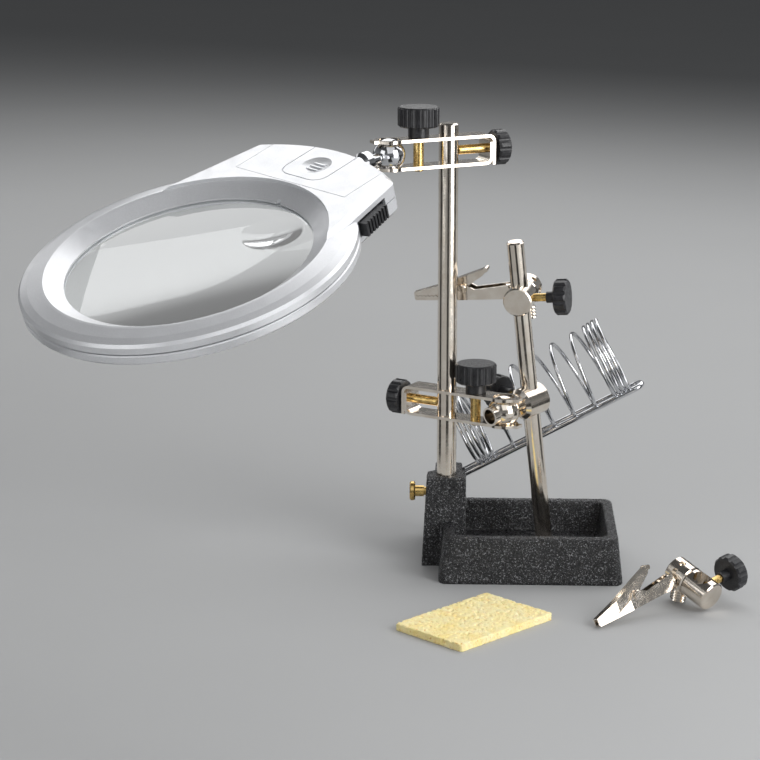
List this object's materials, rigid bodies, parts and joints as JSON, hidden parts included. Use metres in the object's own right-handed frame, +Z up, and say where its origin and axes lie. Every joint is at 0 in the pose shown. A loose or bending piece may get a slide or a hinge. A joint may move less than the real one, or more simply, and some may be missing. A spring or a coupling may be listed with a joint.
{
  "type": "helping hands clamp",
  "caption": "Helping hands stand: tray base, upright rod, ball-jointed lit magnifier, clip on a short rod, coil iron holder, loose clip and sponge.",
  "frame": {"origin": "centre of the tray's underside, on the table", "axes": "+X to the right and +Y to the back seen from the tray side, +Z up"},
  "size_m": [0.2788, 0.1979, 0.1909],
  "materials": {
    "black_cast_iron": "hammered black enamel, matt",
    "nickel_plate": "bright warm nickel plating",
    "chrome": "mirror bright",
    "brass": "turned, slightly dull",
    "black_plastic": "satin moulded",
    "silver_plastic": "silver painted, satin",
    "lens": "clear polished acrylic",
    "spring_steel": "bright",
    "battery_jacket": "printed film, plain",
    "circuit_board": "solder resist",
    "led": "clear water-white",
    "sponge": "dry cellulose, pitted"
  },
  "bodies": {
    "base": {"base_casting": "black_cast_iron", "iron_holder_rail": "chrome", "iron_holder_coil": "chrome"},
    "rod_thumb_screw": {"rod_thumb_screw": "brass"},
    "main_rod": {"main_rod": "nickel_plate"},
    "upper_bracket": {"upper_bracket_top_jaw": "nickel_plate", "upper_bracket_bottom_jaw": "nickel_plate"},
    "upper_pinch_knob": {"upper_pinch_screw": "brass", "upper_pinch_knob": "black_plastic"},
    "upper_end_knob": {"upper_end_screw": "brass", "upper_end_knob": "black_plastic"},
    "lower_bracket": {"lower_bracket_top_jaw": "nickel_plate", "lower_bracket_bottom_jaw": "nickel_plate"},
    "lower_pinch_knob": {"lower_pinch_screw": "brass", "lower_pinch_knob": "black_plastic"},
    "lower_end_knob": {"lower_end_screw": "brass", "lower_end_knob": "black_plastic"},
    "lens_ball": {"lens_ball": "chrome"},
    "magnifier": {"lens_ball_stem": "chrome", "magnifier_top_shell": "silver_plastic", "magnifier_bottom_shell": "silver_plastic", "lens": "lens", "batteries": "battery_jacket", "battery_contacts": "spring_steel", "led_board": "circuit_board", "leds": "led", "shell_screws": "spring_steel"},
    "battery_door": {"battery_door": "silver_plastic"},
    "power_switch": {"power_switch": "black_plastic"},
    "hub_ball": {"hub_ball": "nickel_plate"},
    "hub": {"hub_block": "nickel_plate"},
    "hub_knob": {"hub_screw": "brass", "hub_knob": "black_plastic"},
    "short_rod": {"short_rod": "nickel_plate"},
    "clip_a_clamp": {"clip_a_rod_block": "nickel_plate", "clip_a_pivot_pin": "spring_steel"},
    "clip_a_clamp_knob": {"clip_a_clamp_screw": "brass", "clip_a_clamp_knob": "black_plastic"},
    "clip_a_holder": {"clip_a_swivel_block": "nickel_plate"},
    "clip_a_tail_screw": {"clip_a_tail_screw": "nickel_plate"},
    "clip_a_jaws": {"clip_a_lower_jaw": "nickel_plate", "clip_a_jaw_pin": "nickel_plate", "clip_a_spring": "spring_steel"},
    "clip_a_upper_jaw": {"clip_a_upper_jaw": "nickel_plate"},
    "clip_b_clamp": {"clip_b_rod_block": "nickel_plate", "clip_b_pivot_pin": "spring_steel"},
    "clip_b_clamp_knob": {"clip_b_clamp_screw": "brass", "clip_b_clamp_knob": "black_plastic"},
    "clip_b_holder": {"clip_b_swivel_block": "nickel_plate"},
    "clip_b_tail_screw": {"clip_b_tail_screw": "nickel_plate"},
    "clip_b_jaws": {"clip_b_lower_jaw": "nickel_plate", "clip_b_jaw_pin": "nickel_plate", "clip_b_spring": "spring_steel"},
    "clip_b_upper_jaw": {"clip_b_upper_jaw": "nickel_plate"},
    "sponge": {"sponge": "sponge"}
  },
  "joints": [
    {"name": "rod_thumb_screw_turn", "type": "hinge", "parent": "base", "child": "rod_thumb_screw", "pos_m": [-0.0446, 0.001, 0.03], "axis": [-1, 0, 0], "range_deg": [0, 360]},
    {"name": "main_rod_turn", "type": "hinge", "parent": "base", "child": "main_rod", "pos_m": [-0.0346, 0.001, 0.1], "axis": [0, 0, 1], "range_deg": [-30, 1]},
    {"name": "upper_bracket_slide", "type": "slide", "parent": "main_rod", "child": "upper_bracket", "axis": [0, 0, 1], "range_m": [-0.04, 0.004]},
    {"name": "lower_bracket_swivel", "type": "hinge", "parent": "main_rod", "child": "lower_bracket", "pos_m": [-0.0346, 0.001, 0.0678], "axis": [0, 0, 1], "range_deg": [-28, 1]},
    {"name": "upper_pinch_knob_turn", "type": "hinge", "parent": "upper_bracket", "child": "upper_pinch_knob", "pos_m": [-0.04655, -0.00528, 0.1724], "axis": [0, 0, 1], "range_deg": [0, 360]},
    {"name": "upper_end_knob_turn", "type": "hinge", "parent": "upper_bracket", "child": "upper_end_knob", "pos_m": [-0.01866, 0.00937, 0.1724], "axis": [0.8854, 0.4648, 0], "range_deg": [0, 360]},
    {"name": "lower_pinch_knob_turn", "type": "hinge", "parent": "lower_bracket", "child": "lower_pinch_knob", "pos_m": [-0.02277, -0.0055, 0.0678], "axis": [0, 0, 1], "range_deg": [0, 360]},
    {"name": "lower_end_knob_turn", "type": "hinge", "parent": "lower_bracket", "child": "lower_end_knob", "pos_m": [-0.05037, 0.00967, 0.0678], "axis": [-0.8763, 0.4818, 0], "range_deg": [0, 360]},
    {"name": "magnifier_swing", "type": "hinge", "parent": "upper_bracket", "child": "lens_ball", "pos_m": [-0.05806, -0.01132, 0.1724], "axis": [0, 0, 1], "range_deg": [-35, 35]},
    {"name": "magnifier_tilt", "type": "hinge", "parent": "lens_ball", "child": "magnifier", "pos_m": [-0.05806, -0.01132, 0.1724], "axis": [-0.7181, 0.6959, 0], "range_deg": [-10, 25]},
    {"name": "battery_door_slide", "type": "slide", "parent": "magnifier", "child": "battery_door", "axis": [0.6556, 0.6765, 0.3355], "range_m": [0, 0.012]},
    {"name": "power_switch_slide", "type": "slide", "parent": "magnifier", "child": "power_switch", "axis": [0.4749, 0.8098, 0.3446], "range_m": [0, 0.0035]},
    {"name": "hub_swing", "type": "hinge", "parent": "lower_bracket", "child": "hub_ball", "pos_m": [-0.01138, -0.01177, 0.0678], "axis": [0, 0, 1], "range_deg": [-20, 1]},
    {"name": "hub_tilt", "type": "hinge", "parent": "hub_ball", "child": "hub", "pos_m": [-0.01138, -0.01177, 0.0678], "axis": [-0.6691, 0.7431, 0], "range_deg": [-3, 8]},
    {"name": "hub_knob_turn", "type": "hinge", "parent": "hub", "child": "hub_knob", "pos_m": [-0.00704, 0.0056, 0.06996], "axis": [-0.6691, 0.7431, 0], "range_deg": [0, 360]},
    {"name": "short_rod_slide", "type": "slide", "parent": "hub", "child": "short_rod", "axis": [-0.1073, -0.0966, 0.9895], "range_m": [-0.001, 0.012]},
    {"name": "clip_a_turn", "type": "hinge", "parent": "short_rod", "child": "clip_a_clamp", "pos_m": [-0.00509, -0.0061, 0.1137], "axis": [-0.1073, -0.0966, 0.9895], "range_deg": [-120, 4]},
    {"name": "clip_a_clamp_knob_turn", "type": "hinge", "parent": "clip_a_clamp", "child": "clip_a_clamp_knob", "pos_m": [0.00457, -0.00856, 0.11451], "axis": [0.9659, -0.2458, 0.0807], "range_deg": [0, 360]},
    {"name": "clip_a_swivel", "type": "hinge", "parent": "clip_a_clamp", "child": "clip_a_holder", "pos_m": [-0.0032, 0.00161, 0.11466], "axis": [0.2355, 0.9645, 0.1197], "range_deg": [-40, 30]},
    {"name": "clip_a_tail_screw_turn", "type": "hinge", "parent": "clip_a_holder", "child": "clip_a_tail_screw", "pos_m": [-0.00161, 0.0047, 0.10503], "axis": [0.1073, 0.0966, -0.9895], "range_deg": [0, 360]},
    {"name": "clip_a_roll", "type": "hinge", "parent": "clip_a_holder", "child": "clip_a_jaws", "pos_m": [-0.01042, 0.0057, 0.11428], "axis": [0.9659, -0.2458, 0.0807], "range_deg": [-90, 5]},
    {"name": "clip_a_jaw_open", "type": "hinge", "parent": "clip_a_jaws", "child": "clip_a_upper_jaw", "pos_m": [-0.02801, 0.00994, 0.1147], "axis": [0.2355, 0.9645, 0.1197], "range_deg": [0, 22], "stiffness_Nm_per_rad": 0.02, "springref_deg": -17.19},
    {"name": "clip_b_lift_off", "type": "slide", "parent": "base", "child": "clip_b_clamp", "axis": [0, 0, 1], "range_m": [0, 0.15]},
    {"name": "clip_b_clamp_knob_turn", "type": "hinge", "parent": "clip_b_clamp", "child": "clip_b_clamp_knob", "pos_m": [0.0734, -0.05206, 0.01064], "axis": [0.75, 0.6338, 0.1891], "range_deg": [0, 360]},
    {"name": "clip_b_swivel", "type": "hinge", "parent": "clip_b_clamp", "child": "clip_b_holder", "pos_m": [0.06064, -0.05296, 0.01135], "axis": [-0.6569, 0.6805, 0.3246], "range_deg": [0, 60]},
    {"name": "clip_b_tail_screw_turn", "type": "hinge", "parent": "clip_b_holder", "child": "clip_b_tail_screw", "pos_m": [0.05843, -0.04778, 0.00279], "axis": [-0.077, 0.3676, -0.9268], "range_deg": [0, 360]},
    {"name": "clip_b_roll", "type": "hinge", "parent": "clip_b_holder", "child": "clip_b_jaws", "pos_m": [0.0532, -0.05653, 0.01055], "axis": [0.75, 0.6338, 0.1891], "range_deg": [-45, 90]},
    {"name": "clip_b_jaw_open", "type": "hinge", "parent": "clip_b_jaws", "child": "clip_b_upper_jaw", "pos_m": [0.03901, -0.06764, 0.00889], "axis": [-0.5527, 0.7576, -0.3471], "range_deg": [0, 22], "stiffness_Nm_per_rad": 0.02, "springref_deg": -17.19},
    {"name": "sponge_lift_off", "type": "slide", "parent": "base", "child": "sponge", "axis": [0, 0, 1], "range_m": [0, 0.1]}
  ]
}
